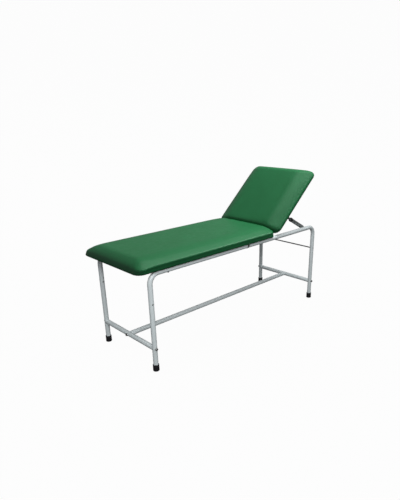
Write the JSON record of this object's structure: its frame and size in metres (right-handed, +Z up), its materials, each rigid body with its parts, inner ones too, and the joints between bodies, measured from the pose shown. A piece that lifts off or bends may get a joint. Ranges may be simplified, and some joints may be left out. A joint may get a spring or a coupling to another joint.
{
  "type": "examination couch",
  "caption": "Two-section examination couch: bent-tube frame with a low H brace, padded seat, and a padded backrest that raises on telescopic struts.",
  "frame": {"origin": "on the floor, under the middle of the couch's own box", "axes": "+X along the couch from the foot end to the head end, +Y across it to the far side, +Z up"},
  "size_m": [1.7732, 0.626, 1.0872],
  "materials": {
    "frame_paint": "satin",
    "vinyl": "satin",
    "plywood": "matte",
    "foam": "matte",
    "zinc": "satin",
    "strut_steel": "satin",
    "dark_steel": "satin",
    "black_plastic": "satin",
    "rubber": "matte"
  },
  "bodies": {
    "frame": {"centre_stretcher": "frame_paint", "crossbar_foot": "frame_paint", "crossbar_head": "frame_paint", "crossbar_insert_foot_far": "strut_steel", "crossbar_insert_foot_near": "strut_steel", "crossbar_insert_head_far": "strut_steel", "crossbar_insert_head_near": "strut_steel", "hinge_pin_far": "zinc", "hinge_pin_near": "zinc", "hinge_seat_leaf_far": "zinc", "hinge_seat_leaf_near": "zinc", "leg_bolt_foot_far": "zinc", "leg_bolt_foot_near": "zinc", "leg_bolt_head_far": "zinc", "leg_bolt_head_near": "zinc", "rail_tie_foot": "frame_paint", "rail_tie_hinge": "frame_paint", "rubber_ferrule_foot_far": "rubber", "rubber_ferrule_foot_near": "rubber", "rubber_ferrule_head_far": "rubber", "rubber_ferrule_head_near": "rubber", "seat_board": "plywood", "seat_cover": "vinyl", "seat_foam": "foam", "seat_saddle_far": "dark_steel", "seat_saddle_near": "dark_steel", "seat_screw_far": "dark_steel", "seat_screw_near": "dark_steel", "side_frame_far": "frame_paint", "side_frame_near": "frame_paint", "stretcher_bolt_foot": "zinc", "stretcher_bolt_head": "zinc", "stretcher_insert_foot": "strut_steel", "stretcher_insert_head": "strut_steel", "strut_nut_far": "zinc", "strut_nut_near": "zinc", "strut_spacer_far": "black_plastic", "strut_spacer_near": "black_plastic", "strut_stud_far": "zinc", "strut_stud_near": "zinc"},
    "backrest": {"backrest_board": "plywood", "backrest_cover": "vinyl", "backrest_foam": "foam", "hinge_back_leaf_far": "zinc", "hinge_back_leaf_near": "zinc", "strut_bracket_far": "zinc", "strut_bracket_near": "zinc"},
    "near_strut_tube": {"strut_collar_near": "black_plastic", "strut_foot_eye_near": "strut_steel", "strut_tube_near": "strut_steel"},
    "near_strut_rod": {"strut_cross_pin_near": "zinc", "strut_rod_near": "strut_steel"},
    "far_strut_tube": {"strut_collar_far": "black_plastic", "strut_foot_eye_far": "strut_steel", "strut_tube_far": "strut_steel"},
    "far_strut_rod": {"strut_cross_pin_far": "zinc", "strut_rod_far": "strut_steel"},
    "roll_rod": {"paper_roll_rod": "strut_steel"}
  },
  "joints": [
    {"name": "backrest_hinge", "type": "hinge", "parent": "frame", "child": "backrest", "pos_m": [0.35241, 0, 0.65], "axis": [0, -1, 0], "range_deg": [-42, 3]},
    {"name": "near_strut_swing", "type": "hinge", "parent": "frame", "child": "near_strut_tube", "pos_m": [0.76871, -0.2425, 0.637], "axis": [0, 1, 0], "range_deg": [-31, 3]},
    {"name": "near_strut_extend", "type": "slide", "parent": "near_strut_tube", "child": "near_strut_rod", "axis": [-0.8782, 0, 0.4783], "range_m": [-0.0745, 0.0056]},
    {"name": "far_strut_swing", "type": "hinge", "parent": "frame", "child": "far_strut_tube", "pos_m": [0.76871, 0.2425, 0.637], "axis": [0, 1, 0], "range_deg": [-31, 3]},
    {"name": "far_strut_extend", "type": "slide", "parent": "far_strut_tube", "child": "far_strut_rod", "axis": [-0.8782, 0, 0.4783], "range_m": [-0.0745, 0.0056]},
    {"name": "roll_rod_slide", "type": "slide", "parent": "frame", "child": "roll_rod", "axis": [0, -1, 0], "range_m": [0, 0.53]}
  ],
  "couplings": [
    {"joint": "near_strut_swing", "follows": "backrest_hinge", "ratio": 0.7209},
    {"joint": "near_strut_extend", "follows": "backrest_hinge", "m_per_rad": 0.099},
    {"joint": "far_strut_swing", "follows": "backrest_hinge", "ratio": 0.7209},
    {"joint": "far_strut_extend", "follows": "backrest_hinge", "m_per_rad": 0.099}
  ]
}
